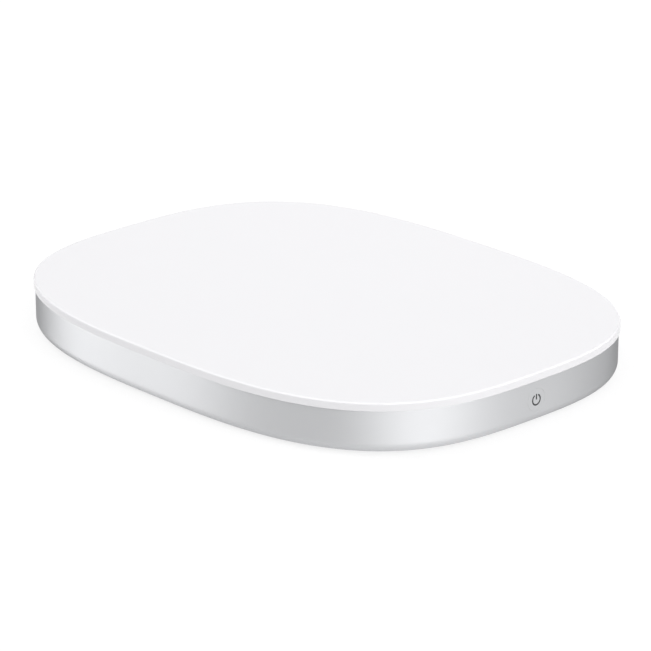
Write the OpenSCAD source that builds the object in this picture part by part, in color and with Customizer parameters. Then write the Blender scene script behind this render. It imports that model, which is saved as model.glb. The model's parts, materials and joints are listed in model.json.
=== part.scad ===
// A large flat wireless charging pad for phones and tablets.
// A white cover with a soft top edge sits on a satin aluminium housing. Under it eight flat
// coils lie in two layers on ferrite tiles, with a heat plate and the driver board below.
// +X points to the end with the power button and -X to the end with the power inlet.
// The origin is the middle of the plane that the feet stand on, and +Z is up.

/* [Overall] */
// Length of the pad, from the inlet end to the button end
body_len = 260; // [210:1:320]
// Width of the pad
body_wid = 199; // [164:1:245]
// Height of the body, without its feet
body_h = 22.6; // [22.4:0.2:30]
// How square the outline is: 2 is an ellipse and 4 is nearly a rectangle
squareness = 2.95; // [2.6:0.05:3.6]

/* [Cover] */
// Height of the cover's white edge
cover_band = 3.6; // [3:0.1:5]
// Thickness of the cover's top
cover_thick = 2.2; // [1.6:0.1:2.6]
// Radius of the cover's top edge
cover_edge = 1.1; // [0.6:0.1:1.4]
// Thickness of the lip that centres the cover in the housing
lip_thick = 1.2; // [1:0.1:1.8]
// How far the lip reaches down inside the housing
lip_depth = 1.5; // [1:0.1:2.5]
// Thickness of the adhesive ring between the cover and the housing
adhesive_thick = 0.15; // [0.1:0.05:0.3]

/* [Housing] */
// Wall thickness of the housing
wall = 2.2; // [1.8:0.1:3]
// How far the metal stands in from the cover's edge
metal_step = 0.7; // [0.1:0.1:1.2]
// Radius of the housing's bottom edge
bottom_round = 4.7; // [3:0.1:5.5]
// Thickness of the flange that turns in under the pad
flange_thick = 3.5; // [3:0.1:4.5]
// Width of the ledge that the base plate is screwed to
ledge_wid = 10; // [9:0.5:12]

/* [Base and feet] */
// Distance from the body's edge to the base plate
base_inset = 15; // [14:0.5:18]
// Thickness of the base plate
base_thick = 1.6; // [1.4:0.1:1.8]
// Diameter of a foot
foot_dia = 18; // [12:0.5:24]
// How far the feet stand out below the body
foot_drop = 0.8; // [0.5:0.1:2]
// Distance from the pad's ends to the feet
foot_from_end = 48; // [44:1:56]
// Distance from the pad's sides to the feet
foot_from_side = 44.5; // [40:0.5:52]

/* [Coils] */
// Outer diameter of a coil
coil_dia = 50; // [40:1:51]
// Diameter of the opening in a coil
coil_eye = 20; // [16:1:24]
// Thickness of a coil
coil_thick = 1.1; // [0.8:0.1:1.2]
// Distance between the middles of two neighbouring coils of one layer
coil_pitch = 54; // [54:1:56]
// Side of a ferrite tile
tile_side = 52; // [50:1:52]

/* [Power button] */
// Diameter of the button's cap
button_dia = 10; // [8:0.5:11]
// Height of the button's middle above the bottom of the body
button_rise = 10.6; // [10:0.1:10.8]
// Gap around the button's cap
button_gap = 0.06; // [0.04:0.01:0.1]
// How far the button can be pressed
button_travel = 0.4; // [0.2:0.05:0.5]

/* [Hidden] */
$fn = 48;
slip = 0.05;
overcut = 1;

// The outline: points round the pad, and steps round a small corner
ring_count = 120;
corner_steps = 6;
half_len = body_len / 2;
half_wid = body_wid / 2;

// Heights, worked down from the top of the cover to the board
top_z = foot_drop + body_h;
seam_z = top_z - cover_band;
rim_z = seam_z - adhesive_thick;
cover_under_z = top_z - cover_thick;
foam_thick = 0.7;
foam_z = cover_under_z - foam_thick;
upper_coil_z = foam_z - coil_thick;
lower_coil_z = upper_coil_z - coil_thick;
frame_floor = 0.6;
frame_z = lower_coil_z - frame_floor;
tile_thick = 1.2;
tile_z = frame_z - tile_thick;
plate_thick = 1.5;
plate_z = tile_z - plate_thick;
spacer_h = 4;
board_top_z = plate_z - spacer_h;
board_thick = 1.6;
board_z = board_top_z - board_thick;

// Heights, worked up from the bottom of the housing
flange_top_z = foot_drop + flange_thick;
base_recess = 0.1;
base_z = foot_drop + base_recess;
ledge_z = base_z + base_thick;

// Housing: the flange, its screw bosses and the pillars that carry the heat plate
rim_chamfer = 0.3;
inner_round = 1.5;
ledge_inset = base_inset + ledge_wid;
base_screw_inset = base_inset + ledge_wid / 2;
base_screw_angles = [22.5:45:337.5];
boss_r = 3.2;
boss_h = 3.2;
boss_sink = 0.6;
base_clearance = 0.15;
lip_clearance = 0.15;
pillar_inset = 12;
pillar_angles = [37, 90, 143, 217, 270, 323];
pillar_r = 3.5;
plate_inset = 8;

// M2.5 screws
screw_r = 1.22;
thread_gap = 0.03;
screw_hole_r = screw_r + thread_gap;
screw_pass_r = 1.4;
pan_r = 2.3;
pan_h = 1.4;
flat_head_r = 2.35;
flat_head_h = 1.1;
base_screw_len = 4.5;
tip_gap = 0.5;
plate_screw_len = 8;
socket_r = 0.8;
socket_deep = 0.6;

// Feet
foot_x = half_len - foot_from_end;
foot_y = half_wid - foot_from_side;
foot_seat = 0.5;
foot_round = 0.35;

// Coil frame, and the places of the coils
frame_wall = 1.5;
coil_room = 0.5;
post_clear = 0.5;
post_r = coil_eye / 2 - post_clear;
frame_len = 2 * coil_pitch + coil_dia + 2 * (coil_room + frame_wall);
frame_wid = coil_pitch + coil_dia + 2 * (coil_room + frame_wall);
frame_corner = 12;
lower_places = [for (y = [-1, 1], x = [-1, 0, 1]) [x * coil_pitch, y * coil_pitch / 2]];
upper_places = [for (x = [-1, 1]) [x * coil_pitch / 2, 0]];
coil_places = concat(lower_places, upper_places);
lower_count = 6;
sensor_size = [2, 1.2, 0.6];

// Coil leads: where each coil's two wires drop to the board
lead_r = 0.45;
lead_hole_r = 0.8;
plate_lead_hole_r = 1.1;
lead_offsets = [3, 5.5];
lead_out = 1;
lead_overlap = 2;

// Driver board: a wide part that ends under the last coils, and a tab that reaches the inlet
board_end_room = 20;
board_side_room = 51.5;
board_past_coil = 12;
board_wid = body_wid - 2 * board_side_room;
board_x = board_end_room - half_len;
board_end_x = coil_pitch + board_past_coil;
board_len = board_end_x - board_x;
board_corner = 3;
tab_wid = 28;
tab_clear = 0.7;
spacer_r = 2.5;
spacer_neck_r = 1.8;
spacer_edge = 6;
spacer_rows = [board_x + spacer_edge, 5 - coil_pitch / 2, board_end_x - spacer_edge];
board_screw_len = 4.6;

// Parts on the driver board, placed from under the end coils
parts_x = -2 * coil_pitch - 2;
chip_side = 5;
chip_h = 0.9;
chip_row_x = 34;
chip_step = 24;
chip_row_y = coil_dia / 2 - 5;
controller_side = 10;
controller_h = 1;
controller_x = 88;
tall_part_h = 4.4;
inductor_side = 10;
inductor_x = 24;
inductor_y = 8;
bulk_r = 4;
bulk_h = 5.6;
bulk_x = [42, 52];
resonant_size = [7.2, 6.1, 3];
resonant_x = 74;
resonant_step = 22;
resonant_y = 12;

// Button, its switch and the bracket behind it
button_z = foot_drop + button_rise;
cap_thick = wall + 0.1;
cap_ear_r = button_dia / 2 + 1.2;
cap_ear_thick = 0.8;
cap_ear_wid = button_dia - 1;
stem_r = 1.9;
stem_len = 1.8;
symbol_r = 2.25;
symbol_stroke = 0.75;
symbol_deep = 0.3;
symbol_gap_angle = 70;
symbol_bar = 2.65;
plunger_r = 1.7;
plunger_entry = 1.1;
plunger_clear = 0.5;
plunger_len = plunger_entry + button_travel + plunger_clear;
switch_side = 6;
switch_thick = 3.5;
switch_bore_r = 1.8;
switch_bore_deep = plunger_len;
switch_board_wid = 12;
switch_board_h = 6.5;
switch_board_thick = 1;
bracket_wid = 18;
bracket_thick = 1.5;
bracket_foot = 11;
bracket_window = 8;
bracket_hole_x = 7;
bracket_hole_y = 5.5;
bracket_screw_r = 0.95;
bracket_screw_len = 2.9;
bracket_head_r = 1.7;
bracket_head_h = 1.1;
flex_wid = 6;
flex_thick = 0.2;
flex_z = foot_drop + 7.3;
flex_land = 12;
flex_slope = 6;
flex_tail = 2;

// Power inlet: a standard small oval socket in a plastic bezel
socket_wid = 8.94;
socket_h = 3.26;
socket_len = 7.35;
socket_wall = 0.3;
tongue_wid = 6.7;
tongue_thick = 0.7;
tongue_len = 5.4;
inlet_z = board_top_z + socket_h / 2;
bezel_wid = 12.4;
bezel_h = 6.4;
bezel_gap = 0.1;
bezel_recess = 0.1;
bezel_flange = 1.3;
bezel_flange_thick = 0.8;
bezel_seat = 0.1;
bezel_flange_h = bezel_h + 2 * bezel_flange;
bezel_flange_wid = bezel_wid + 2 * bezel_flange;

// A power that keeps its sign, for the outline's rule
function signed_power(v, e) = sign(v) * pow(abs(v), e);

// A point of the outline at the angle t, moved in square to the edge
function outline_point(t, inset) =
    let (
        c = cos(t),
        s = sin(t),
        nx = signed_power(c, 2 - 2 / squareness) / half_len,
        ny = signed_power(s, 2 - 2 / squareness) / half_wid,
        n = norm([nx, ny])
    )
    [
        half_len * signed_power(c, 2 / squareness) - inset * nx / n,
        half_wid * signed_power(s, 2 / squareness) - inset * ny / n
    ];

// The whole outline, with a short flat across each end and each side
function outline(inset) =
    [for (i = [0:ring_count - 1]) outline_point((i + 0.5) * 360 / ring_count, inset)];

// How far out the flat at each end lies
function end_x(inset) = outline_point(180 / ring_count, inset)[0];

// Where the bezel's flange lies against its seat in the housing's wall
function bezel_seat_x() = -end_x(metal_step + wall) - bezel_seat;

// A quarter or less of a circle, as [inset, height] points
function arc_points(centre, r, from, to, steps) =
    [for (i = [0:steps])
        let (a = from + (to - from) * i / steps)
        [centre[0] - r * cos(a), centre[1] + r * sin(a)]];

// A rectangle with round corners, centred
function round_rect(x, y, r) =
    [for (q = [0:3], i = [0:corner_steps])
        let (
            a = 90 * q + 90 * i / corner_steps,
            sx = (q == 0 || q == 3) ? 1 : -1,
            sy = (q < 2) ? 1 : -1
        )
        [sx * (x / 2 - r) + r * cos(a), sy * (y / 2 - r) + r * sin(a)]];

// Draws a profile of [inset, height] points round the outline. An open profile is closed by
// a flat at its first and last height, and a looped one joins its last point to its first.
module rim_sweep(profile, looped) {
    n = ring_count;
    count = len(profile);
    last = looped ? count - 1 : count - 2;
    points = [for (p = profile, q = outline(p[0])) [q[0], q[1], p[1]]];
    sides = [for (k = [0:last], i = [0:n - 1])
        [k * n + i, k * n + (i + 1) % n, (k + 1) % count * n + (i + 1) % n, (k + 1) % count * n + i]];
    top = [for (i = [n - 1:-1:0]) i];
    bottom = [for (i = [0:n - 1]) (count - 1) * n + i];
    polyhedron(points, looped ? sides : concat(sides, [top, bottom]));
}

// A flat sheet of the pad's outline
module outline_sheet(inset, z, thick) {
    translate([0, 0, z]) linear_extrude(thick) polygon(outline(inset));
}

// A flat sheet with round corners
module round_sheet(x, y, r, z, thick) {
    translate([0, 0, z]) linear_extrude(thick) polygon(round_rect(x, y, r));
}

// Repeats its children round the pad, at a distance in from the edge
module around(angles, inset) {
    for (t = angles) translate(outline_point(t, inset)) children();
}

// Turns a shape drawn upwards so that it points along +X, with its -X side up
module along_x(x, z) {
    translate([x, 0, z]) rotate([0, 90, 0]) children();
}

// A straight pin from one height to another
module pin(r, from_z, to_z) {
    translate([0, 0, from_z]) cylinder(h = to_z - from_z, r = r);
}

// A square block that stands on a height, centred on its place
module block(x, y, z, h) {
    translate([-x / 2, -y / 2, z]) cube([x, y, h]);
}

// A pan-head screw whose head rests on z = 0 and whose shank points down
module pan_screw(r, length, head_r, head_h) {
    difference() {
        union() {
            pin(head_r, 0, head_h);
            pin(r, -length, slip);
        }
        pin(socket_r, head_h - socket_deep, head_h + overcut);
    }
}

module top_cover() {
    lip_inset = metal_step + wall + lip_clearance;
    edge = arc_points([cover_edge, top_z - cover_edge], cover_edge, 90, 0, corner_steps);
    under = [
        [0, seam_z],
        [lip_inset, seam_z],
        [lip_inset, seam_z - lip_depth],
        [lip_inset + lip_thick, seam_z - lip_depth],
        [lip_inset + lip_thick, cover_under_z]
    ];
    color("white") rim_sweep(concat(edge, under), false);
}

module cover_adhesive() {
    color("gainsboro") difference() {
        outline_sheet(metal_step + rim_chamfer + slip, rim_z, adhesive_thick);
        outline_sheet(metal_step + wall - slip, rim_z - overcut, adhesive_thick + 2 * overcut);
    }
}

module housing_shell() {
    outer = metal_step;
    inner = metal_step + wall;
    corner = arc_points([outer + bottom_round, foot_drop + bottom_round], bottom_round, 0, -90, corner_steps);
    inner_centre = [inner + inner_round, flange_top_z + inner_round];
    inner_corner = arc_points(inner_centre, inner_round, -90, 0, corner_steps / 2);
    rim = [[outer + rim_chamfer, rim_z], [outer, rim_z - rim_chamfer]];
    flange = [
        [base_inset, foot_drop],
        [base_inset, ledge_z],
        [ledge_inset, ledge_z],
        [ledge_inset, flange_top_z]
    ];
    rim_sweep(concat(rim, corner, flange, inner_corner, [[inner, rim_z]]), true);
}

module housing() {
    color("silver") difference() {
        union() {
            housing_shell();
            around(base_screw_angles, base_screw_inset)
                pin(boss_r, flange_top_z - boss_sink, flange_top_z + boss_h);
            around(pillar_angles, pillar_inset) pin(pillar_r, flange_top_z - boss_sink, plate_z);
        }
        around(base_screw_angles, base_screw_inset)
            pin(screw_hole_r, ledge_z - overcut, ledge_z + base_screw_len);
        around(pillar_angles, pillar_inset)
            pin(screw_hole_r, plate_z - plate_screw_len, plate_z + overcut);
        bracket_places() pin(bracket_screw_r + thread_gap, ledge_z - overcut, flange_top_z + overcut);
        along_x(end_x(metal_step + wall) - overcut, button_z)
            cylinder(h = wall + 2 * overcut, r = button_dia / 2 + button_gap);
        along_x(-end_x(metal_step) - overcut, inlet_z)
            linear_extrude(wall + 2 * overcut)
                polygon(round_rect(bezel_h + 2 * bezel_gap, bezel_wid + 2 * bezel_gap, bezel_h / 2));
        along_x(bezel_seat_x(), inlet_z)
            linear_extrude(bezel_flange_thick + overcut)
                polygon(round_rect(bezel_flange_h + 2 * bezel_gap, bezel_flange_wid + 2 * bezel_gap,
                    bezel_flange_h / 2));
    }
}

module base_plate() {
    color("whitesmoke") difference() {
        outline_sheet(base_inset + base_clearance, base_z, base_thick);
        around(base_screw_angles, base_screw_inset) {
            pin(screw_pass_r, base_z - overcut, ledge_z + overcut);
            translate([0, 0, base_z])
                cylinder(h = flat_head_h, r1 = flat_head_r + slip, r2 = screw_r + slip);
        }
        foot_places() pin(foot_dia / 2 + slip, base_z - overcut, base_z + foot_seat);
    }
}

module base_screws() {
    color("lightgray") around(base_screw_angles, base_screw_inset) difference() {
        union() {
            translate([0, 0, base_z]) cylinder(h = flat_head_h, r1 = flat_head_r, r2 = screw_r);
            pin(screw_r, base_z + flat_head_h - slip, ledge_z + base_screw_len - tip_gap);
        }
        pin(socket_r, base_z - overcut, base_z + socket_deep);
    }
}

// The places of the four feet
module foot_places() {
    for (x = [-1, 1], y = [-1, 1]) translate([x * foot_x, y * foot_y, 0]) children();
}

module foot(front, left) {
    r = foot_dia / 2;
    top = base_z + foot_seat;
    side = [[0, 0], [r - foot_round, 0], [r, foot_round], [r, top], [0, top]];
    color("lightgray") translate([front * foot_x, left * foot_y, 0]) rotate_extrude() polygon(side);
}

// The power symbol: a ring that is open at the top, with a bar in the opening
module power_mark(deep) {
    rotate([0, 0, 180 + symbol_gap_angle / 2])
        rotate_extrude(angle = 360 - symbol_gap_angle)
            translate([symbol_r - symbol_stroke / 2, 0]) square([symbol_stroke, deep]);
    translate([-symbol_bar, -symbol_stroke / 2, 0]) cube([symbol_bar, symbol_stroke, deep]);
}

module power_button() {
    face = end_x(metal_step);
    color("silver") difference() {
        union() {
            along_x(face - cap_thick - slip, button_z) cylinder(h = cap_thick + slip, r = button_dia / 2);
            along_x(face - cap_thick - cap_ear_thick, button_z) intersection() {
                cylinder(h = cap_ear_thick, r = cap_ear_r);
                translate([-cap_ear_wid / 2, -cap_ear_r, 0])
                    cube([cap_ear_wid, 2 * cap_ear_r, cap_ear_thick]);
            }
            along_x(face - cap_thick - cap_ear_thick - stem_len, button_z)
                cylinder(h = stem_len + slip, r = stem_r);
        }
        along_x(face - symbol_deep, button_z) power_mark(symbol_deep + overcut);
    }
}

module power_symbol() {
    color("dimgray") along_x(end_x(metal_step) - symbol_deep, button_z) power_mark(symbol_deep);
}

// Where the button's stem ends and the plunger starts
function stem_end_x() = end_x(metal_step) - cap_thick - cap_ear_thick - stem_len;

// Where the front of the switch lies
function switch_face_x() = stem_end_x() - plunger_len + plunger_entry;

// Where the back of the small switch board lies
function switch_board_back_x() = switch_face_x() - switch_thick - switch_board_thick;

module switch_plunger() {
    color("black") along_x(stem_end_x() - plunger_len, button_z) cylinder(h = plunger_len, r = plunger_r);
}

module tact_switch() {
    x = switch_face_x();
    color("dimgray") difference() {
        translate([x - switch_thick, -switch_side / 2, button_z - switch_side / 2])
            cube([switch_thick, switch_side, switch_side]);
        along_x(x - switch_bore_deep, button_z)
            cylinder(h = switch_bore_deep + overcut, r = switch_bore_r);
    }
}

module switch_board() {
    color("darkgreen")
        translate([switch_board_back_x(), -switch_board_wid / 2, button_z - switch_board_h / 2])
            cube([switch_board_thick, switch_board_wid, switch_board_h]);
}

// The two screws that hold the button's bracket to the flange
module bracket_places() {
    x = switch_board_back_x() - bracket_thick - bracket_hole_x;
    for (y = [-1, 1]) translate([x, y * bracket_hole_y, 0]) children();
}

module button_bracket() {
    back = switch_board_back_x();
    foot_end = back - bracket_thick - bracket_foot;
    top = button_z + switch_board_h / 2;
    color("lightsteelblue") difference() {
        union() {
            translate([back - bracket_thick, -bracket_wid / 2, flange_top_z])
                cube([bracket_thick, bracket_wid, top - flange_top_z]);
            translate([foot_end, -bracket_wid / 2, flange_top_z])
                cube([bracket_foot + bracket_thick, bracket_wid, bracket_thick]);
        }
        translate([back - bracket_thick - overcut, -bracket_window / 2, flange_top_z + 2 * bracket_thick])
            cube([bracket_thick + 2 * overcut, bracket_window, top - flange_top_z - 3 * bracket_thick]);
        bracket_places()
            pin(bracket_screw_r + slip, flange_top_z - overcut, flange_top_z + bracket_thick + overcut);
    }
}

module bracket_screws() {
    color("lightgray") bracket_places() translate([0, 0, flange_top_z + bracket_thick])
        pan_screw(bracket_screw_r, bracket_screw_len, bracket_head_r, bracket_head_h);
}

module flex_cable() {
    start = switch_board_back_x();
    under = board_z - flex_thick;
    side = [
        [start, flex_z],
        [start, flex_z + flex_tail],
        [start - flex_thick, flex_z + flex_tail],
        [start - flex_thick, flex_z + flex_thick],
        [board_end_x + flex_slope, flex_z + flex_thick],
        [board_end_x - slip, board_z],
        [board_end_x - flex_land, board_z],
        [board_end_x - flex_land, under],
        [board_end_x, under],
        [board_end_x + flex_slope, flex_z]
    ];
    color("orange") translate([0, flex_wid / 2, 0]) rotate([90, 0, 0])
        linear_extrude(flex_wid) polygon(side);
}

module foam_sheet() {
    color("gray") round_sheet(frame_len, frame_wid, frame_corner, foam_z, foam_thick);
}

// Where a coil's two wires drop, from the coil's own middle
function lead_places(i) = i < lower_count
    ? [for (d = lead_offsets) [-sign(coil_places[i][1]) * d, -coil_places[i][1]]]
    : [for (s = [-1, 1]) [0, s * (coil_dia / 2 + lead_out)]];

// Every place where a wire drops to the board
module all_lead_places() {
    for (i = [0:len(coil_places) - 1], p = lead_places(i)) translate(coil_places[i] + p) children();
}

module coil_frame() {
    inner_len = frame_len - 2 * frame_wall;
    inner_wid = frame_wid - 2 * frame_wall;
    color("ivory") difference() {
        union() {
            difference() {
                round_sheet(frame_len, frame_wid, frame_corner, frame_z, foam_z - frame_z);
                round_sheet(inner_len, inner_wid, frame_corner - frame_wall, lower_coil_z, top_z);
            }
            for (p = coil_places) translate(p) pin(post_r, lower_coil_z - slip, foam_z);
        }
        all_lead_places() pin(lead_hole_r, frame_z - overcut, lower_coil_z + overcut);
        for (p = coil_places) translate([p[0], p[1], foam_z])
            cube([sensor_size[0], sensor_size[1], 2 * sensor_size[2]], center = true);
    }
}

module temperature_sensors() {
    color("black") for (p = coil_places) translate([p[0], p[1], foam_z - sensor_size[2] / 2])
        cube(sensor_size, center = true);
}

// A flat winding with its two wire ends: each runs out level and then drops to the board
module coil(i) {
    z = i < lower_count ? lower_coil_z : upper_coil_z;
    mid_z = z + coil_thick / 2;
    color("peru") translate(coil_places[i]) {
        difference() {
            pin(coil_dia / 2, z, z + coil_thick);
            pin(coil_eye / 2, z - overcut, z + coil_thick + overcut);
        }
        for (p = lead_places(i)) {
            inward = coil_dia / 2 - lead_overlap;
            run = abs(p[1]) - inward;
            translate([p[0], sign(p[1]) * inward, mid_z])
                rotate([-90 * sign(p[1]), 0, 0]) cylinder(h = run + lead_r, r = lead_r);
            translate(p) pin(lead_r, board_top_z, mid_z);
        }
    }
}

module ferrite_tile(i) {
    color("dimgray") translate(lower_places[i]) block(tile_side, tile_side, tile_z, tile_thick);
}

// The six spacers between the board and the heat plate
module spacer_places() {
    for (x = spacer_rows, y = [-1, 1])
        translate([x, y * (board_wid / 2 - spacer_edge), 0]) children();
}

module shield_plate() {
    color("silver") difference() {
        outline_sheet(plate_inset, plate_z, plate_thick);
        around(pillar_angles, pillar_inset) pin(screw_pass_r, plate_z - overcut, tile_z + overcut);
        spacer_places() pin(spacer_neck_r + slip, plate_z - overcut, tile_z + overcut);
        all_lead_places() pin(plate_lead_hole_r, plate_z - overcut, tile_z + overcut);
    }
}

module plate_screws() {
    color("lightgray") around(pillar_angles, pillar_inset) translate([0, 0, tile_z])
        pan_screw(screw_r, plate_screw_len, pan_r, pan_h);
}

module board_spacers() {
    color("goldenrod") spacer_places() difference() {
        union() {
            pin(spacer_r, board_top_z, plate_z);
            pin(spacer_neck_r, plate_z - slip, plate_z + plate_thick - slip);
        }
        pin(screw_hole_r, board_top_z - overcut, tile_z + overcut);
    }
}

module main_board() {
    tab_x = bezel_seat_x() + bezel_flange_thick + tab_clear;
    color("darkgreen") difference() {
        union() {
            translate([board_x + board_len / 2, 0, 0])
                round_sheet(board_len, board_wid, board_corner, board_z, board_thick);
            translate([tab_x, -tab_wid / 2, board_z])
                cube([board_x + board_corner - tab_x, tab_wid, board_thick]);
        }
        spacer_places() pin(screw_pass_r, board_z - overcut, board_top_z + overcut);
    }
}

module board_screws() {
    color("lightgray") spacer_places() translate([0, 0, board_z]) mirror([0, 0, 1])
        pan_screw(screw_r, board_screw_len, pan_r, pan_h);
}

// The places of the eight bridge chips, two rows on the top of the board
module chip_places() {
    for (i = [0:3], y = [-1, 1])
        translate([parts_x + chip_row_x + i * chip_step, y * chip_row_y, 0]) children();
}

module bridge_chips() {
    color("black") chip_places() block(chip_side, chip_side, board_top_z, chip_h);
}

module controller_chip() {
    color("black") translate([parts_x + controller_x, 0, 0])
        block(controller_side, controller_side, board_top_z, controller_h);
}

module thermal_pads() {
    pad_z = board_top_z + chip_h;
    color("lightblue") chip_places() block(chip_side, chip_side, pad_z, plate_z - pad_z);
}

module resonant_capacitors() {
    size = resonant_size;
    color("tan") for (i = [0:3], y = [-1, 1])
        translate([parts_x + resonant_x + i * resonant_step, y * resonant_y, 0])
            block(size[0], size[1], board_z - size[2], size[2]);
}

module power_inductors() {
    color("darkgray") for (y = [-1, 1]) translate([parts_x + inductor_x, y * inductor_y, 0])
        block(inductor_side, inductor_side, board_z - tall_part_h, tall_part_h);
}

module bulk_capacitors() {
    color("lightgray") for (x = bulk_x, y = [-1, 1]) translate([parts_x + x, y * inductor_y, 0])
        pin(bulk_r, board_z - bulk_h, board_z);
}

module inlet_shell() {
    mouth = bezel_recess - end_x(metal_step);
    color("silver") along_x(mouth, inlet_z) difference() {
        linear_extrude(socket_len) polygon(round_rect(socket_h, socket_wid, socket_h / 2 - slip));
        translate([0, 0, -overcut]) linear_extrude(socket_len - socket_wall + overcut)
            polygon(round_rect(socket_h - 2 * socket_wall, socket_wid - 2 * socket_wall,
                socket_h / 2 - slip - socket_wall));
    }
}

module inlet_tongue() {
    back = bezel_recess - end_x(metal_step) + socket_len - socket_wall;
    color("black") translate([back - tongue_len, -tongue_wid / 2, inlet_z - tongue_thick / 2])
        cube([tongue_len, tongue_wid, tongue_thick]);
}

module inlet_bezel() {
    face = bezel_recess - end_x(metal_step);
    inside = bezel_seat_x();
    color("gray") difference() {
        union() {
            along_x(face, inlet_z) linear_extrude(inside - face + slip)
                polygon(round_rect(bezel_h, bezel_wid, bezel_h / 2 - bezel_gap));
            along_x(inside, inlet_z) linear_extrude(bezel_flange_thick)
                polygon(round_rect(bezel_flange_h, bezel_flange_wid, bezel_flange_h / 2 - bezel_gap));
        }
        along_x(face - overcut, inlet_z) linear_extrude(socket_len)
            polygon(round_rect(socket_h + 2 * bezel_gap, socket_wid + 2 * bezel_gap, socket_h / 2));
    }
}

top_cover();
cover_adhesive();
housing();
base_plate();
base_screws();
foot(1, 1);  // foot_front_left
foot(1, -1);  // foot_front_right
foot(-1, 1);  // foot_rear_left
foot(-1, -1);  // foot_rear_right
power_button();
power_symbol();
switch_plunger();
tact_switch();
switch_board();
button_bracket();
bracket_screws();
flex_cable();
foam_sheet();
coil_frame();
for (i = [1:8]) coil(i - 1);
for (i = [1:6]) ferrite_tile(i - 1);
temperature_sensors();
shield_plate();
plate_screws();
board_spacers();
main_board();
board_screws();
bridge_chips();
controller_chip();
thermal_pads();
resonant_capacitors();
power_inductors();
bulk_capacitors();
inlet_shell();
inlet_tongue();
inlet_bezel();
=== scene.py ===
"""A flat wireless charging pad: gloss white cover, satin aluminium housing, silicone feet.

Every shape is worked out in metres in the part's own frame: +X to the button end, +Z up.
"""
import json
import math

import bmesh
import bpy
import numpy as np
from mathutils import Matrix, Vector


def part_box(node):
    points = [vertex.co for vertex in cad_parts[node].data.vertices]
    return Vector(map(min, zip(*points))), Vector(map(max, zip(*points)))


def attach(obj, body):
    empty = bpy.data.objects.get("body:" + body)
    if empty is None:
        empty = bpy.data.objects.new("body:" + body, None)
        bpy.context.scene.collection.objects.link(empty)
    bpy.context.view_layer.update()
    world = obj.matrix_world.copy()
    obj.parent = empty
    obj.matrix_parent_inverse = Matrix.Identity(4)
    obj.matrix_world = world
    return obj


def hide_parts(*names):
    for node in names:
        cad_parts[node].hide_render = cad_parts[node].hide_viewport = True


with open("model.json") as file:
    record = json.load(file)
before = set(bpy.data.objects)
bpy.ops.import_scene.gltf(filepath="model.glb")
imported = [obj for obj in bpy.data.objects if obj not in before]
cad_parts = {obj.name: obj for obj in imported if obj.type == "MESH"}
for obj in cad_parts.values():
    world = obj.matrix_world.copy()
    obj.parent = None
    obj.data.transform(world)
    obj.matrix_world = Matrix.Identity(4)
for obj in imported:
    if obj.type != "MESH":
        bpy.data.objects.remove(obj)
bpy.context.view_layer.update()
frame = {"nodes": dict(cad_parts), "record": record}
MM = 0.001
TURN = 2 * math.pi


# ---------------------------------------------------------------- sizes

cover_low, cover_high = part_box("top_cover")
housing_low, housing_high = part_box("housing")
tape_low, tape_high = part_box("cover_adhesive")
foam_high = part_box("foam_sheet")[1]
base_low, base_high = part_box("base_plate")
cap_low, cap_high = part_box("power_button")
symbol_low, symbol_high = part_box("power_symbol")
bezel_low, bezel_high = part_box("inlet_bezel")
shell_low, shell_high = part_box("inlet_shell")
tongue_low, tongue_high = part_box("inlet_tongue")
foot_names = ["foot_front_left", "foot_front_right", "foot_rear_left", "foot_rear_right"]

half_len = cover_high.x
half_wid = cover_high.y
top_z = cover_high.z
seam_z = tape_high.z
rim_z = tape_low.z
metal_step = half_len - housing_high.x

# The outline, the cover and the housing
squareness = 2.95
cover_edge = 1.1 * MM
cover_low_edge = 0.15 * MM
lip_thick = 1.2 * MM
lip_clearance = 0.15 * MM
wall = 2.2 * MM
bottom_round = 4.7 * MM
inner_round = 1.5 * MM
flange_thick = 3.5 * MM
base_inset = 15 * MM
ledge_wid = 10 * MM
rim_round = 0.3 * MM
tape_step = 0.35 * MM

# The button, its symbol and the power inlet
button_z = (symbol_low.z + symbol_high.z) / 2 - 0.3 * MM
button_r = 5 * MM
button_gap = 0.04 * MM
button_edge = 0.03 * MM
ear_r = button_r + 1.2 * MM
ear_thick = 0.8 * MM
ear_half_h = 4.5 * MM
stem_r = 1.9 * MM
symbol_r = 2.25 * MM
symbol_stroke = 0.75 * MM
symbol_gap = math.radians(70)
symbol_bar = 2.65 * MM
symbol_proud = 0.01 * MM
inlet_z = (bezel_low.z + bezel_high.z) / 2
bezel_gap = 0.1 * MM
bezel_r = 3.2 * MM
bezel_flat = 3.0 * MM
bezel_edge = 0.2 * MM
flange_r = 4.5 * MM
bezel_flange_thick = 0.8 * MM
shell_flat = 2.84 * MM
shell_r = 1.63 * MM
shell_wall = 0.3 * MM
contact_count = 12
contact_pitch = 0.5 * MM
contact_wid = 0.26 * MM
contact_proud = 0.02 * MM

# The feet and the screws in the base
foot_edge = 0.4 * MM
foot_dish = 0.12 * MM
screw_head_r = 2.35 * MM
screw_head_h = 1.1 * MM
screw_r = 1.22 * MM
screw_len = 5.6 * MM
screw_socket_r = 0.8 * MM
screw_socket_deep = 0.6 * MM

# The coils: the distance between two coils of one layer, and between two turns of the wire
coil_pitch = 54 * MM
turn_pitch = 1.25 * MM

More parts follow.
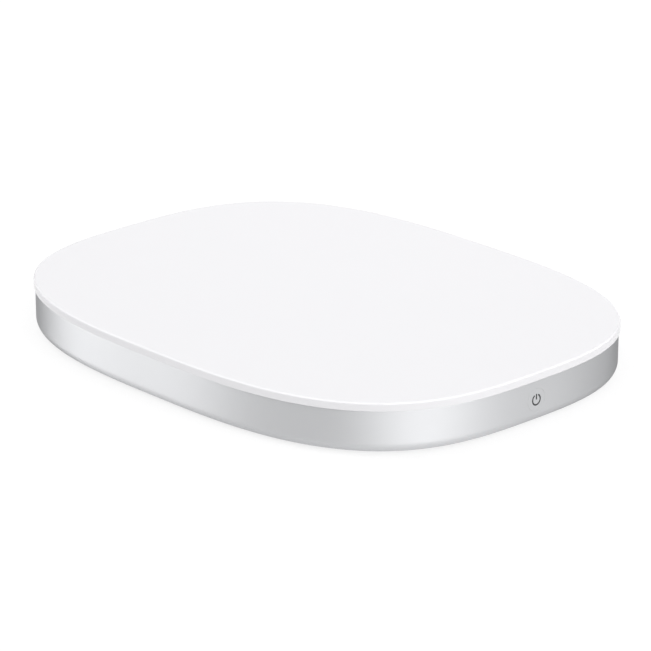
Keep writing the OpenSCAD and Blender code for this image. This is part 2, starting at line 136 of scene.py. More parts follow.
# The finest details
flat_margin = 0.6 * MM
window_row = 0.985 * MM
seat_edge = 0.1 * MM
seat_ease = 0.3 * MM
inside_step = 0.3 * MM
tape_clearance = 0.05 * MM
cap_clearance = 0.1 * MM
cap_rings = (0.25, 0.5, 0.75, 0.92)
inlay_deep = 0.1 * MM
strip_ease = 0.9
sole_flat = 0.55
sole_rise = 0.78
sole_edge = 0.86
socket_depth_share = 0.9
socket_floor_share = 0.3
screw_edge = 0.08 * MM
socket_edge = 0.1 * MM
screw_tip = 0.4 * MM
screw_first = 22.5
screw_step = 45
lobe_count = 6
lobe_share = 0.13
lobe_rim_share = 0.10
shell_back_edge = 0.2 * MM
tongue_edge = 0.12 * MM
contact_front = 0.6 * MM
contact_back = 0.4 * MM
tiny = 1e-9
merge_distance = 1e-7

# The fineness of the meshes
outline_samples = 40001
edge_steps = 5
around_count = 720
wall_rows = 12
button_reach = 7
inlet_reach = 8


# ---------------------------------------------------------------- outline and sweeps

def signed_power(value, exponent):
    """The absolute value raised to the exponent, with the value's own sign."""
    return np.sign(value) * np.abs(value) ** exponent


def outline_at(angle, inset):
    """Points of the superellipse |x/a|^n + |y/b|^n = 1, moved in square to the edge by inset."""
    c, s = np.cos(angle), np.sin(angle)
    edge = np.stack([half_len * signed_power(c, 2 / squareness),
                     half_wid * signed_power(s, 2 / squareness)], -1)
    normal = np.stack([signed_power(c, 2 - 2 / squareness) / half_len,
                       signed_power(s, 2 - 2 / squareness) / half_wid], -1)
    normal /= np.linalg.norm(normal, axis=-1, keepdims=True)
    return edge - inset * normal


def even_angles(count):
    """Angles whose outline points lie evenly spaced along the edge."""
    angle = np.linspace(0, TURN, outline_samples)
    step = np.linalg.norm(np.diff(outline_at(angle, 0), axis=0), axis=1)
    travelled = np.concatenate([[0], np.cumsum(step)])
    return np.interp(np.arange(count) / count * travelled[-1], travelled, angle)


around = even_angles(around_count)


def end_x(y, inset):
    """How far out the wall lies at each y near the pad's ends: x = a(1 - |y/b|^n)^(1/n) - inset."""
    return half_len * (1 - np.abs(y / half_wid) ** squareness) ** (1 / squareness) - inset


def arc(centre, radius, start, end, steps):
    """Part of a circle, as points of [inset, height]: 0 degrees points outwards and 90 up."""
    a = np.radians(np.linspace(start, end, steps + 1))
    return np.stack([centre[0] - radius * np.cos(a), centre[1] + radius * np.sin(a)], -1)


def line(start, end, steps):
    """Evenly spaced points from start to end."""
    f = np.linspace(0, 1, steps + 1)[:, None]
    return np.asarray(start) * (1 - f) + np.asarray(end) * f


def sweep_rows(profile):
    """The outline carried through a profile of [inset, height]: one closed row for each point."""
    profile = np.asarray(profile, float)
    flat = np.stack([outline_at(around, inset) for inset in profile[:, 0]])
    height = np.broadcast_to(profile[:, 1, None, None], flat.shape[:2] + (1,))
    return np.concatenate([flat, height], -1)


def shrinking_rows(row, steps):
    """Rows that shrink a closed row in even steps towards its own middle, for a flat sheet."""
    scale = np.linspace(1, 0, steps + 2)[1:-1, None, None]
    middle = np.array([0, 0, row[0, 2]])
    return middle + (row[None] - middle) * scale


def grid_faces(rows, columns):
    """Four-sided faces between neighbouring rows; the last column joins the first."""
    r = np.arange(rows - 1)[:, None]
    c = np.arange(columns)[None, :]
    n = (c + 1) % columns
    return np.stack([r * columns + c, (r + 1) * columns + c,
                     (r + 1) * columns + n, r * columns + n], -1)


def surface(rows, start_pole=None, end_pole=None, windows=()):
    """One surface through closed rows of points. A pole closes its first or last row with a fan.
    A window is (first row, last row, middle column, reach): its cells are left open."""
    rows = np.asarray(rows, float)
    count, columns = rows.shape[:2]
    points = rows.reshape(-1, 3)
    keep = np.ones((count - 1, columns), bool)
    for first, last, middle, reach in windows:
        keep[first:last, np.arange(middle - reach, middle + reach) % columns] = False
    faces = grid_faces(count, columns)[keep].tolist()
    c = np.arange(columns)
    n = (c + 1) % columns
    if start_pole is not None:
        pole = np.full(columns, len(points))
        points = np.concatenate([points, [start_pole]])
        faces += np.stack([pole, c, n], -1).tolist()
    if end_pole is not None:
        pole = np.full(columns, len(points))
        last = (count - 1) * columns
        points = np.concatenate([points, [end_pole]])
        faces += np.stack([pole, last + n, last + c], -1).tolist()
    return points, faces


def window_loop(rows, window):
    """The points round a window, in order: along its first row, down, back and up."""
    first, last, middle, reach = window
    columns = np.arange(middle - reach, middle + reach + 1) % rows.shape[1]
    return np.concatenate([rows[first, columns[:-1]], rows[first:last, columns[-1]],
                           rows[last, columns[:0:-1]], rows[last:first:-1, columns[0]]])


def slot_reach(angle, flat, radius):
    """The distance from the middle of a round-ended slot to its edge. The slot's straight sides
    are 2 x flat long, and at flat 0 it is a circle: r / |sin| on them, else the end's circle."""
    c, s = np.abs(np.cos(angle)), np.abs(np.sin(angle))
    on_end = flat * c + np.sqrt(np.maximum(radius ** 2 - (flat * s) ** 2, 0))
    on_side = radius / np.maximum(s, tiny)
    return np.where(on_side * c < flat, on_side, on_end)


def opening(outer_loop, inner_loop, sign, centre_z, flat, radius, edge):
    """A round-ended hole through the wall: rings from a window in its outer face in to the hole's
    eased edge, through the wall, and out to the window in its inner face."""
    angle = np.arctan2(outer_loop[:, 2] - centre_z, outer_loop[:, 1])

    def ring(grow, depth):
        reach = slot_reach(angle, flat, radius + grow)
        y = reach * np.cos(angle)
        return np.stack([sign * end_x(y, metal_step + depth), y, centre_z + reach * np.sin(angle)], -1)

    def between(start, end, inset, steps):
        share = np.linspace(0, 1, steps + 1)[1:-1, None, None]
        mixed = start * (1 - share) + end * share
        mixed[..., 0] = sign * end_x(mixed[..., 1], inset)
        return mixed

    outer_edge, inner_edge = ring(edge, 0), ring(0, wall)
    eased = [ring(edge * (1 - math.sin(t)), edge * (1 - math.cos(t)))
             for t in np.linspace(0, math.pi / 2, edge_steps)]
    rows = np.concatenate([
        outer_loop[None], between(outer_loop, outer_edge, metal_step, 6), np.stack(eased),
        np.stack([ring(0, wall * f) for f in (0.35, 0.7)]), inner_edge[None],
        between(inner_edge, inner_loop, metal_step + wall, 4), inner_loop[None],
    ])
    return surface(rows)


def turned(profile, centre, count=96, lobes=None):
    """A profile of [radius, height] turned about an upright axis through centre. A radius of 0
    at either end is a pole. lobes gives the share of each row's radius that ripples round it."""
    profile = np.asarray(profile, float)
    a = np.arange(count) / count * TURN
    ripple = np.zeros(len(profile)) if lobes is None else np.asarray(lobes)
    solid = profile[:, 0] > 0
    r = profile[solid, 0, None] * (1 + ripple[solid, None] * np.cos(lobe_count * a))
    h = profile[solid, 1, None]
    rows = np.stack(np.broadcast_arrays(r * np.cos(a), r * np.sin(a), h), -1)
    start = np.array([0, 0, profile[0, 1]]) if not solid[0] else None
    end = np.array([0, 0, profile[-1, 1]]) if not solid[-1] else None
    points, faces = surface(rows, start, end)
    return points + np.asarray(centre), faces


def slot_rows(profile, count=72):
    """Round-ended loops across the X axis at the inlet's middle, one for each [flat, radius, x]."""
    a = np.arange(count) / count * TURN
    rows = []
    for flat, radius, x in profile:
        reach = slot_reach(a, flat, radius)
        y = reach * np.cos(a)
        rows.append(np.stack([np.full(count, x), y, inlet_z + reach * np.sin(a)], -1))
    return np.stack(rows)


def strip(path, width, face_x, deep):
    """A flat strip with round ends, laid along a path of [y, z] on the face at x. Its width at
    distance d from an end is the chord of the end's half circle, and its long edges are eased."""
    path = np.asarray(path, float)
    half = width / 2
    first = path[0] + (path[0] - path[1]) / np.linalg.norm(path[0] - path[1]) * half
    last = path[-1] + (path[-1] - path[-2]) / np.linalg.norm(path[-1] - path[-2]) * half
    t = np.sin(np.linspace(0, math.pi / 2, 7))[:-1, None]
    path = np.concatenate([first + (path[0] - first) * t, path, (last + (path[-1] - last) * t)[::-1]])
    end_share = np.sqrt(1 - (1 - t[:, 0]) ** 2)
    share = np.concatenate([end_share, np.ones(len(path) - 2 * len(end_share)), end_share[::-1]])
    along = np.gradient(path, axis=0)
    along /= np.linalg.norm(along, axis=1, keepdims=True)
    side = np.stack([-along[:, 1], along[:, 0]], -1) * half * share[:, None]
    section = [(-1, -deep), (-1, -deep / 4), (-strip_ease, 0), (strip_ease, 0), (1, -deep / 4),
               (1, -deep)]
    rows = np.stack([np.concatenate([np.full((len(path), 1), face_x + x), path + side * s], 1)
                     for s, x in section], 1)
    middle = face_x - deep / 2
    return surface(rows, np.array([middle, *path[0]]), np.array([middle, *path[-1]]))


def joined(*parts):
    """Several surfaces as one list of points and faces."""
    points, faces, start = [], [], 0
    for part_points, part_faces in parts:
        points.append(part_points)
        faces += [[start + i for i in face] for face in part_faces]
        start += len(part_points)
    return np.concatenate(points), faces


# ---------------------------------------------------------------- pieces

materials = {}


def piece(name, shape, body, slot, nodes, sharp=35):
    """A finished piece: its doubled points are merged, its faces are turned outwards, its flat and
    round stretches are shaded smooth, and it rides on a body in place of its CAD nodes."""
    points, faces = shape
    mesh = bpy.data.meshes.new(name)
    mesh.from_pydata(points.tolist(), [], faces)
    work = bmesh.new()
    work.from_mesh(mesh)
    bmesh.ops.remove_doubles(work, verts=work.verts, dist=merge_distance)
    bmesh.ops.recalc_face_normals(work, faces=work.faces)
    work.to_mesh(mesh)
    work.free()
    mesh.shade_smooth()
    mesh.set_sharp_from_angle(angle=math.radians(sharp))
    obj = bpy.data.objects.new(name, mesh)
    bpy.context.scene.collection.objects.link(obj)
    mesh.materials.append(materials[slot])
    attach(obj, body)
    if nodes:
        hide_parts(*nodes)
    return obj


def cover_shape():
    """The cover: a flat top, a round edge, an upright side, and a lip under it that centres it."""
    under_z = foam_high.z
    lip_out = metal_step + wall + lip_clearance
    lip_in = lip_out + lip_thick
    edge = arc([cover_edge, top_z - cover_edge], cover_edge, 90, 0, 16)
    low_edge = arc([cover_low_edge, seam_z + cover_low_edge], cover_low_edge, 0, -90, 4)
    profile = np.concatenate([
        [[cover_edge + flat_margin, top_z]], edge,
        line(edge[-1], low_edge[0], 4)[1:-1], low_edge,
        [[lip_out, seam_z], [lip_out, cover_low.z], [lip_in, cover_low.z], [lip_in, under_z]],
    ])
    rows = sweep_rows(profile)
    rows = np.concatenate([shrinking_rows(rows[0], 20)[::-1], rows, shrinking_rows(rows[-1], 8)])
    return surface(rows, np.array([0, 0, top_z]), np.array([0, 0, under_z]))


def housing_shape():
    """The housing: a thin wall on a round bottom edge, a flange that turns in under the pad, the
    button's bore through the +X end and the inlet's slot through the -X end."""
    outer, inner = metal_step, metal_step + wall
    bottom = housing_low.z
    ledge_z = base_high.z
    flange_z = bottom + flange_thick
    corner_z = bottom + bottom_round
    high_z = corner_z + wall_rows * window_row
    rim = arc([outer + rim_round, rim_z - rim_round], rim_round, 90, 0, 6)
    high = line(rim[-1], [outer, high_z], 3)[1:-1]
    windowed = line([outer, high_z], [outer, corner_z], wall_rows)
    corner = arc([outer + bottom_round, corner_z], bottom_round, 0, -90, 20)[1:]
    flange = np.array([[outer + bottom_round + flat_margin, bottom], [base_inset - seat_ease, bottom],
                       [base_inset, bottom + seat_edge], [base_inset, ledge_z],
                       [base_inset + ledge_wid, ledge_z], [base_inset + ledge_wid, flange_z]])
    inside_corner = arc([inner + inner_round, flange_z + inner_round], inner_round, -90, 0, 8)[:-1]
    inside = line([inner, corner_z + inside_step], [inner, high_z], wall_rows)
    parts = [rim, high, windowed, corner, flange, inside_corner, inside, [[inner, rim_z]], rim[:1]]
    starts = np.cumsum([0] + [len(part) for part in parts])
    rows = sweep_rows(np.concatenate(parts))
    half_turn = around_count // 2
    bore_out = (starts[2], starts[3] - 1, 0, button_reach)
    bore_in = (starts[6], starts[7] - 1, 0, button_reach)
    slot_out = (starts[2], starts[3] - 1, half_turn, inlet_reach)
    slot_in = (starts[6], starts[7] - 1, half_turn, inlet_reach)

    def upside_down(window):
        first, last, middle, reach = window
        return window_loop(rows[::-1], (len(rows) - 1 - last, len(rows) - 1 - first, middle, reach))

    bore = opening(window_loop(rows, bore_out), upside_down(bore_in), 1,
                   button_z, 0, button_r + button_gap, button_edge)
    slot = opening(window_loop(rows, slot_out), upside_down(slot_in), -1,
                   inlet_z, bezel_flat, bezel_r + bezel_gap, button_edge)
    return joined(surface(rows, windows=(bore_out, bore_in, slot_out, slot_in)), bore, slot)


def tape_shape():
    """The ring of bonding tape between the cover and the housing's rim."""
    outer, inner = metal_step + tape_step, metal_step + wall - tape_clearance
    profile = [[outer, rim_z], [outer, seam_z], [inner, seam_z], [inner, rim_z], [outer, rim_z]]
    return surface(sweep_rows(profile))


def cap_shape():
    """The button: a cap that follows the wall's curve, with an eased edge, two ears that stop it
    from coming out, and a stem behind. Each ring is its radius and its depth behind the wall."""
    a = np.arange(120) / 120 * TURN
    c, s = np.cos(a), np.sin(a)
    back = cap_high.x - cap_low.x
    cap_back = wall + cap_clearance
    ear = np.minimum(ear_r, ear_half_h / np.maximum(np.abs(s), tiny))
    rings = [(button_r * f, 0) for f in cap_rings]
    rings += [(button_r - button_edge * (1 - math.sin(t)), button_edge * (1 - math.cos(t)))
              for t in np.linspace(0, math.pi / 2, edge_steps)]
    rings += [(button_r, cap_back), (ear, cap_back), (ear, cap_back + ear_thick),
              (stem_r, cap_back + ear_thick), (stem_r, back)]
    rows = []
    for radius, depth in rings:
        y = radius * c
        rows.append(np.stack([end_x(y, metal_step + depth), y, button_z + radius * s], -1))
    return surface(rows, np.array([end_x(0.0, metal_step), 0, button_z]),
                   np.array([end_x(0.0, metal_step + back), 0, button_z]))


def symbol_shape():
    """The power symbol: a ring that is open at the top, with a bar that stands in the opening."""
    face = end_x(0.0, metal_step) + symbol_proud
    a = np.linspace(math.pi / 2 + symbol_gap / 2, math.pi / 2 + TURN - symbol_gap / 2, 61)
    ring = np.stack([symbol_r * np.cos(a), button_z + symbol_r * np.sin(a)], -1)
    half = symbol_stroke / 2
    bar = line([0, button_z + half], [0, button_z + symbol_bar - half], 8)
    return joined(strip(ring, symbol_stroke, face, inlay_deep),
                  strip(bar, symbol_stroke, face, inlay_deep))


def foot_shape():
    """The four feet: round discs with an eased rim and a shallow dish in the sole."""
    parts = []
    for name in foot_names:
        low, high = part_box(name)
        r = (high.x - low.x) / 2
        ease = np.linspace(0, math.pi / 2, 7)
        rim = np.stack([r - foot_edge * (1 - np.sin(ease)), foot_edge * (1 - np.cos(ease))], -1)
        sole = [[0, foot_dish], [sole_flat * r, foot_dish], [sole_rise * r, 0.8 * foot_dish],
                [sole_edge * r, 0]]
        profile = np.concatenate([sole, rim, [[r, high.z], [0, high.z]]])
        parts.append(turned(profile, ((low.x + high.x) / 2, (low.y + high.y) / 2, 0)))
    return joined(*parts)


def screw_shape():
    """The eight base screws: a flush cone of a head with a six-lobed socket, and a plain shank."""
    angle = np.radians(np.arange(screw_first, 360, screw_step))
    centres = outline_at(angle, base_inset + ledge_wid / 2)
    parts = []
    for x, y in centres:
        profile = [[0, screw_socket_deep], [socket_floor_share * screw_socket_r, screw_socket_deep],
                   [screw_socket_r, screw_socket_deep * socket_depth_share],
                   [screw_socket_r, screw_edge], [screw_socket_r + socket_edge, 0],
                   [screw_head_r - screw_edge, 0], [screw_head_r, screw_edge], [screw_r, screw_head_h],
                   [screw_r, screw_len - screw_tip], [screw_r - screw_tip, screw_len], [0, screw_len]]
        lobes = [0] + 3 * [lobe_share] + [lobe_rim_share] + 6 * [0]
        parts.append(turned(profile, (x, y, base_low.z), count=72, lobes=lobes))
    return joined(*parts)


def bezel_shape():
    """The inlet's bezel: an eased round-ended ring that fills the slot, with a flange behind the
    wall. Each loop is half the length of its straight sides, its radius and its x."""
    front, back = bezel_low.x, bezel_high.x
    behind = back - bezel_flange_thick
    hole_r = shell_r + bezel_gap
    turn_in = np.linspace(0, math.pi / 2, edge_steps)
    outer = [(bezel_flat, bezel_r - bezel_edge / 2 * (1 - math.sin(t)),
              front + bezel_edge / 2 * (1 - math.cos(t))) for t in turn_in]
    inner = [(shell_flat, hole_r + bezel_edge * (1 - math.sin(t)),
              front + bezel_edge * (1 - math.cos(t))) for t in turn_in]
    profile = outer + [(bezel_flat, bezel_r, behind), (bezel_flat, flange_r, behind),
                       (bezel_flat, flange_r, back), (shell_flat, hole_r, back)]
    profile += inner[::-1] + outer[:1]
    return surface(slot_rows(profile))


def shell_shape():
    """The inlet's metal shell: a drawn round-ended tube, closed at its inner end."""
    front, back = shell_low.x, shell_high.x
    lip = shell_wall / 2
    inner_r = shell_r - shell_wall
    outside = [(shell_flat, shell_r - lip + lip * math.sin(t), front + lip * (1 - math.cos(t)))
               for t in np.linspace(0, math.pi / 2, edge_steps)]
    inside = [(shell_flat, inner_r + lip - lip * math.sin(t), front + lip * (1 - math.cos(t)))
              for t in np.linspace(0, math.pi / 2, edge_steps)]
    profile = [(shell_flat / 2, inner_r / 4, back - shell_wall), (shell_flat, inner_r, back - shell_wall)]
    profile += inside[::-1] + outside[1:]
    profile += [(shell_flat, shell_r, back - shell_back_edge),
                (shell_flat, shell_r - shell_back_edge, back),
                (shell_flat / 2, shell_r / 4, back)]
    return surface(slot_rows(profile), np.array([back - shell_wall, 0, inlet_z]),
                   np.array([back, 0, inlet_z]))


def box_rows(low, high, ease):
    """A box along X with its front end and its four long edges eased: loops of eight points."""
    low, high = np.asarray(low), np.asarray(high)
    middle = (low + high) / 2
    half = (high - low) / 2
    rows = []
    for x, shrink in ((low[0], ease), (low[0] + ease, 0), (high[0] - ease, 0), (high[0], ease)):
        y, z = half[1] - shrink, half[2] - shrink
        cut = ease
        loop = [(y, z - cut), (y - cut, z), (-y + cut, z), (-y, z - cut),
                (-y, -z + cut), (-y + cut, -z), (y - cut, -z), (y, -z + cut)]
        rows.append([(x, middle[1] + a, middle[2] + b) for a, b in loop])
    return np.array(rows), np.array([low[0], *middle[1:]]), np.array([high[0], *middle[1:]])


def tongue_shape():
    """The thin tongue in the middle of the socket."""
    return surface(*box_rows(tongue_low, tongue_high, tongue_edge))


def contact_shape():
    """Two rows of twelve narrow contacts, let into the tongue's upper and lower faces."""
    parts = []
    for i in range(contact_count):
        y = (i - (contact_count - 1) / 2) * contact_pitch
        for z in (tongue_low.z, tongue_high.z):
            low = (tongue_low.x + contact_front, y - contact_wid / 2, z - contact_proud)
            high = (tongue_high.x - contact_back, y + contact_wid / 2, z + contact_proud)
            parts.append(surface(*box_rows(low, high, contact_proud / 2)))
    return joined(*parts)


# ---------------------------------------------------------------- materials

def calc(tree, operation, *values):
    """One sum on numbers, or on the outputs of earlier nodes, as a node of the tree."""
    node = tree.nodes.new("ShaderNodeMath")
    node.operation = operation
    for socket, value in zip(node.inputs, values):
        if isinstance(value, (int, float)):
            socket.default_value = value
        else:
            tree.links.new(value, socket)
    return node.outputs["Value"]


def ramp(tree, value, low, high, start=0.0, end=1.0):
    """A smooth rise from start to end while the value goes from low to high."""
    node = tree.nodes.new("ShaderNodeMapRange")
    node.interpolation_type = "SMOOTHSTEP"
    node.inputs["From Min"].default_value = low
    node.inputs["From Max"].default_value = high
    node.inputs["To Min"].default_value = start
    node.inputs["To Max"].default_value = end
    tree.links.new(value, node.inputs["Value"])
    return node.outputs["Result"]


def split(tree, vector):
    """The x, y and z of a vector."""
    node = tree.nodes.new("ShaderNodeSeparateXYZ")
    tree.links.new(vector, node.inputs["Vector"])
    return node.outputs["X"], node.outputs["Y"], node.outputs["Z"]


# Shares and sizes that all the finishes have in common
broad_scale = 24
broad_detail = 4
fine_detail = 3
gloss_low = 0.85
gloss_high = 1.15
grain_deep = 0.1 * MM
relief_deep = 0.15 * MM
relief_shade = 0.65
track_low = 0.06
track_high = 0.10
track_randomness = 0.6
light_depth = 0.004
light_depth_scale = 0.5
brush_turn = 0.25


def plain_finish(name, colour, roughness, metallic=0.0, grain=900, depth=0.05, tint=0.03,
                 subsurface=0.0, edge_tint=1.0, brushed=0.0, shine=0.5, painted_side_shade=None,
                 stretch=(1, 1, 1), turns=None, traces=None):
    """A finish with slight colour and gloss changes across it and a fine grain in its surface.
    painted_side_shade is (share, low z, high z): painted shade that darkens the colour to the share below
    the low z, for the dimmer light that falls on a side.
    stretch squeezes the grain along each axis. turns is (x, y) of a coil's middle: round grooves
    are drawn about it, and about every middle a coil pitch away. traces is the width of the cells
    of a board's faint pattern of tracks."""
    material = bpy.data.materials.new(name)
    material.use_nodes = True
    nodes, links = material.node_tree.nodes, material.node_tree.links
    shader = nodes["Principled BSDF"]
    shader.inputs["Metallic"].default_value = metallic
    shader.inputs["Specular IOR Level"].default_value = shine
    shader.inputs["Specular Tint"].default_value = (edge_tint, edge_tint, edge_tint, 1)
    shader.inputs["Subsurface Weight"].default_value = subsurface
    shader.inputs["Subsurface Radius"].default_value = 3 * (light_depth,)
    shader.inputs["Subsurface Scale"].default_value = light_depth_scale
    if brushed:
        shader.inputs["Anisotropic"].default_value = brushed
        shader.inputs["Anisotropic Rotation"].default_value = brush_turn
        tangent = nodes.new("ShaderNodeTangent")
        tangent.direction_type = "RADIAL"
        tangent.axis = "Z"
        links.new(tangent.outputs["Tangent"], shader.inputs["Tangent"])
    place = nodes.new("ShaderNodeTexCoord")
    broad = nodes.new("ShaderNodeTexNoise")
    broad.inputs["Scale"].default_value = broad_scale
    broad.inputs["Detail"].default_value = broad_detail
    links.new(place.outputs["Object"], broad.inputs["Vector"])
    shade = nodes.new("ShaderNodeMapRange")
    shade.inputs["To Min"].default_value = 1 - tint
    shade.inputs["To Max"].default_value = 1 + tint
    links.new(broad.outputs["Fac"], shade.inputs["Value"])
    scale = nodes.new("ShaderNodeVectorMath")
    scale.operation = "SCALE"
    scale.inputs[0].default_value = colour
    links.new(shade.outputs["Result"], scale.inputs["Scale"])
    # Painted shade: the colour is darkened to the share below the low z and comes back to full between the
    # low and high z, standing in for the dimmer light on the side.
    if painted_side_shade:
        tree = material.node_tree
        share, low, high = painted_side_shade
        height = split(tree, place.outputs["Object"])[2]
        side = ramp(tree, height, low, high, start=share)
        links.new(calc(tree, "MULTIPLY", shade.outputs["Result"], side), scale.inputs["Scale"])
    links.new(scale.outputs["Vector"], shader.inputs["Base Color"])
    fine = nodes.new("ShaderNodeTexNoise")
    fine.inputs["Scale"].default_value = grain
    fine.inputs["Detail"].default_value = fine_detail
    squeeze = nodes.new("ShaderNodeVectorMath")
    squeeze.operation = "MULTIPLY"
    squeeze.inputs[1].default_value = stretch
    links.new(place.outputs["Object"], squeeze.inputs[0])
    links.new(squeeze.outputs["Vector"], fine.inputs["Vector"])
    gloss = nodes.new("ShaderNodeMapRange")
    gloss.inputs["To Min"].default_value = roughness * gloss_low
    gloss.inputs["To Max"].default_value = min(1, roughness * gloss_high)
    links.new(broad.outputs["Fac"], gloss.inputs["Value"])
    links.new(gloss.outputs["Result"], shader.inputs["Roughness"])
    bump = nodes.new("ShaderNodeBump")
    bump.inputs["Strength"].default_value = depth
    bump.inputs["Distance"].default_value = grain_deep
    links.new(fine.outputs["Fac"], bump.inputs["Height"])
    links.new(bump.outputs["Normal"], shader.inputs["Normal"])
    if turns or traces:
        relief = nodes.new("ShaderNodeBump")
        relief.inputs["Distance"].default_value = relief_deep
        tree = material.node_tree
        x, y, _ = split(tree, place.outputs["Object"])
        if turns:
            half = coil_pitch / 2
            off_x = calc(tree, "WRAP", calc(tree, "SUBTRACT", x, turns[0]), half, -half)
            off_y = calc(tree, "WRAP", calc(tree, "SUBTRACT", y, turns[1]), half, -half)
            squares = calc(tree, "MULTIPLY_ADD", off_x, off_x, calc(tree, "MULTIPLY", off_y, off_y))
            phase = calc(tree, "MULTIPLY", calc(tree, "SQRT", squares), math.pi / turn_pitch)
            pattern = calc(tree, "ABSOLUTE", calc(tree, "SINE", phase))
        else:
            cells = nodes.new("ShaderNodeTexVoronoi")
            cells.feature = "DISTANCE_TO_EDGE"
            cells.inputs["Scale"].default_value = 1 / traces
            cells.inputs["Randomness"].default_value = track_randomness
            links.new(place.outputs["Object"], cells.inputs["Vector"])
            pattern = ramp(tree, cells.outputs["Distance"], track_low, track_high)
        links.new(pattern, relief.inputs["Height"])
        links.new(bump.outputs["Normal"], relief.inputs["Normal"])
        links.new(relief.outputs["Normal"], shader.inputs["Normal"])
        # The relief's low lines are darkened to relief_shade: on a coil this is painted shade in the
        # grooves between the turns, and on a board it is the tracks' own darker colour.
        tone = calc(tree, "MULTIPLY_ADD", pattern, 1 - relief_shade, relief_shade)
        links.new(calc(tree, "MULTIPLY", shade.outputs["Result"], tone), scale.inputs["Scale"])
    return material


materials.update({
    # The cover's side and the lower part of its round edge are darkened to 0.77 of the top's colour:
    # painted shade for the dimmer light on the side.
    "cover": plain_finish("gloss_white", (0.815, 0.81, 0.828), 0.16, grain=500, depth=0.02,
                          tint=0.004, subsurface=0.1, shine=0.1,
                          painted_side_shade=(0.77, top_z - 0.8 * MM, top_z - 0.2 * MM)),
    "adhesive": plain_finish("bonding_tape", (0.60, 0.60, 0.61), 0.6),
    "housing": plain_finish("satin_aluminium", (0.615, 0.620, 0.632), 0.447, metallic=1, grain=150,
                             depth=0.03, tint=0.01, edge_tint=0.4, brushed=0.83, stretch=(1, 1, 40)),
    "base": plain_finish("moulded_base", (0.60, 0.60, 0.605), 0.55, grain=2500, depth=0.3),
    "screws": plain_finish("screw_steel", (0.45, 0.45, 0.46), 0.35, metallic=1),
    "feet": plain_finish("foot_silicone", (0.45, 0.46, 0.47), 0.7, grain=1500, depth=0.2),
    "symbol": plain_finish("symbol_enamel", (0.012, 0.012, 0.014), 0.6),
    "black_plastic": plain_finish("black_plastic", (0.02, 0.02, 0.02), 0.45),
    "circuit_board": plain_finish("solder_mask", (0.012, 0.085, 0.036), 0.3, traces=4 * MM),
    "bracket": plain_finish("stamped_steel", (0.42, 0.43, 0.44), 0.35, metallic=1),
    "flex": plain_finish("amber_film", (0.40, 0.16, 0.02), 0.3),
    "foam": plain_finish("closed_cell_foam", (0.05, 0.05, 0.055), 0.9, grain=2000, depth=0.6),
    "frame_plastic": plain_finish("frame_plastic", (0.62, 0.60, 0.54), 0.5),
    "coil_wire": plain_finish("enamelled_copper", (0.50, 0.18, 0.07), 0.3, metallic=1,
                              turns=(0, coil_pitch / 2)),
    "ferrite": plain_finish("fired_ferrite", (0.02, 0.02, 0.022), 0.6),
    "heat_plate": plain_finish("rolled_aluminium", (0.6, 0.61, 0.62), 0.35, metallic=1),
    "brass_parts": plain_finish("turned_brass", (0.62, 0.42, 0.12), 0.25, metallic=1),
    "thermal_pad": plain_finish("thermal_pad", (0.2, 0.35, 0.5), 0.7),
    "ceramic_parts": plain_finish("ceramic_body", (0.27, 0.18, 0.1), 0.45),
    "inductor": plain_finish("pressed_powder", (0.04, 0.04, 0.042), 0.7),
    "capacitor_can": plain_finish("drawn_can", (0.6, 0.61, 0.62), 0.25, metallic=1),
    "inlet_metal": plain_finish("plated_steel", (0.55, 0.55, 0.56), 0.25, metallic=1),
    "bezel": plain_finish("bezel_plastic", (0.35, 0.36, 0.37), 0.4),
})

slots = {row["node"]: row["material_slot"] for row in frame["record"]["subparts"]}
upper_coil = plain_finish("enamelled_copper_upper", (0.50, 0.18, 0.07), 0.3, metallic=1,
                          turns=(coil_pitch / 2, 0))
for node, obj in frame["nodes"].items():
    obj.data.materials.clear()
    obj.data.materials.append(upper_coil if node in ("coil_7", "coil_8") else materials[slots[node]])

piece("cover", cover_shape(), "pad", "cover", ["top_cover"])
piece("metal_rim", housing_shape(), "pad", "housing", ["housing"])
piece("bonding_ring", tape_shape(), "pad", "adhesive", ["cover_adhesive"])
piece("button_cap", cap_shape(), "button", "housing", ["power_button"])
piece("button_symbol", symbol_shape(), "button", "symbol", ["power_symbol"])
piece("feet", foot_shape(), "pad", "feet", foot_names)
piece("screw_heads", screw_shape(), "pad", "screws", ["base_screws"])
piece("inlet_ring", bezel_shape(), "pad", "bezel", ["inlet_bezel"])
piece("inlet_tube", shell_shape(), "pad", "inlet_metal", ["inlet_shell"])
piece("inlet_blade", tongue_shape(), "pad", "black_plastic", ["inlet_tongue"])
piece("inlet_contacts", contact_shape(), "pad", "brass_parts", [])


# ---------------------------------------------------------------- floor, light and camera

# The floor glows softly all round the pad but not under it: the glow is painted light that keeps the floor
# white right up to the pad, and its lack under the pad is painted shade.
# The outline's |x/a|^n + |y/b|^n is 1 at the pad's edge, and the glow rises from nothing to its full
# strength between these values
shade_in = 0.76
shade_out = 0.86
floor_glow = 0.70


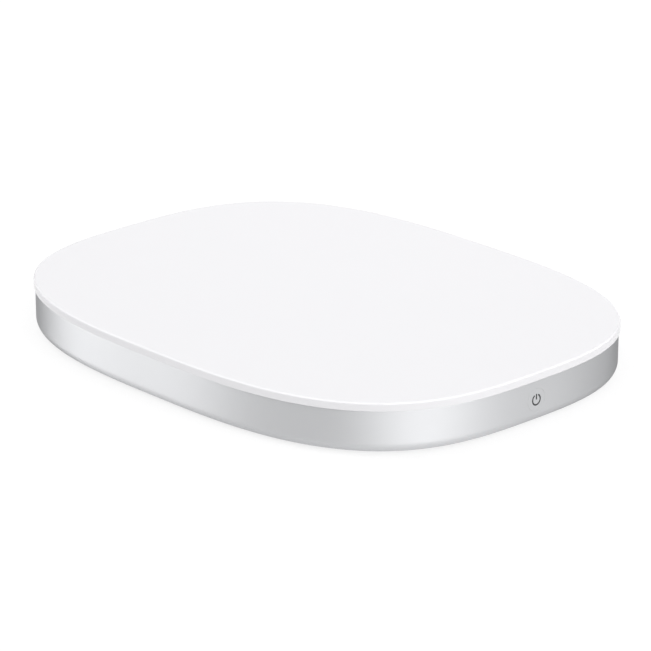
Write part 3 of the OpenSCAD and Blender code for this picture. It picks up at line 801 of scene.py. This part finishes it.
def make_floor():
    """A wide pale floor at the height that the feet stand on, with a soft glow of its own."""
    reach = 6.0
    mesh = bpy.data.meshes.new("floor")
    mesh.from_pydata([(-reach, -reach, 0), (reach, -reach, 0), (reach, reach, 0), (-reach, reach, 0)],
                     [], [(0, 1, 2, 3)])
    obj = bpy.data.objects.new("floor", mesh)
    bpy.context.scene.collection.objects.link(obj)
    paint = plain_finish("floor_paint", (0.3, 0.3, 0.3), 0.9, tint=0.01, depth=0.0)
    tree = paint.node_tree
    place = tree.nodes.new("ShaderNodeTexCoord")
    x, y, _ = split(tree, place.outputs["Object"])
    far_x = calc(tree, "POWER", calc(tree, "ABSOLUTE", calc(tree, "DIVIDE", x, half_len)), squareness)
    far_y = calc(tree, "POWER", calc(tree, "ABSOLUTE", calc(tree, "DIVIDE", y, half_wid)), squareness)
    shader = tree.nodes["Principled BSDF"]
    shader.inputs["Emission Color"].default_value = (1, 1, 1, 1)
    glow = ramp(tree, calc(tree, "ADD", far_x, far_y), shade_in, shade_out, end=floor_glow)
    tree.links.new(glow, shader.inputs["Emission Strength"])
    mesh.materials.append(paint)


# Soft lights that stand round the pad, low down: azimuth, half width (both degrees), strength
side_lights = {
    "right": (-8, 75, 3.5),
    "left": (212, 30, 4.6),
    "back": (135, 22, 0.8),
}
side_fill = 0.4
sky_strength = 0.98
side_top = math.sin(math.radians(12))
sky_bottom = math.sin(math.radians(45))


def make_world():
    """A soft white sky over a dimmer horizon that holds the low side lights. Each light's
    strength falls off with the distance d from its azimuth as (1 + cos(pi d / half width)) / 2."""
    world = bpy.data.worlds.new("studio")
    bpy.context.scene.world = world
    world.use_nodes = True
    tree = world.node_tree
    direction = tree.nodes.new("ShaderNodeTexCoord")
    x, y, z = split(tree, direction.outputs["Generated"])
    azimuth = calc(tree, "ARCTAN2", y, x)
    horizon = side_fill
    for centre, half_width, strength in side_lights.values():
        away = calc(tree, "WRAP", calc(tree, "SUBTRACT", azimuth, math.radians(centre)), math.pi, -math.pi)
        share = calc(tree, "DIVIDE", calc(tree, "ABSOLUTE", away), math.radians(half_width))
        swing = calc(tree, "MULTIPLY", calc(tree, "MINIMUM", share, 1), math.pi)
        fall = calc(tree, "MULTIPLY_ADD", calc(tree, "COSINE", swing), 0.5, 0.5)
        horizon = calc(tree, "MULTIPLY_ADD", fall, strength, horizon)
    upward = ramp(tree, z, side_top, sky_bottom)
    sky = calc(tree, "MULTIPLY", calc(tree, "SUBTRACT", sky_strength, horizon), upward)
    background = tree.nodes["Background"]
    background.inputs["Color"].default_value = (1, 1, 1, 1)
    tree.links.new(calc(tree, "ADD", horizon, sky), background.inputs["Strength"])


view_azimuth = math.radians(46.78)
view_elevation = math.radians(20.36)
view_distance = 1.552
aim_right = 1.46 * MM
aim_up = 7.5 * MM
lens_mm = 195.6


def make_camera():
    """The camera looks along the azimuth, down by the elevation, at a point just above the pad."""
    camera = bpy.data.cameras.new("camera")
    camera.lens = lens_mm
    camera.sensor_width = 36
    camera.clip_start = 0.05
    obj = bpy.data.objects.new("camera", camera)
    bpy.context.scene.collection.objects.link(obj)
    turn = Matrix.Rotation(view_azimuth, 4, "Z") @ Matrix.Rotation(math.pi / 2 - view_elevation, 4, "X")
    aim = Vector((0, 0, housing_low.z)) + turn @ Vector((aim_right, aim_up, 0))
    obj.matrix_world = Matrix.Translation(aim + turn @ Vector((0, 0, view_distance))) @ turn
    bpy.context.scene.camera = obj


make_floor()
make_world()
make_camera()
bpy.context.scene.view_settings.view_transform = "Standard"
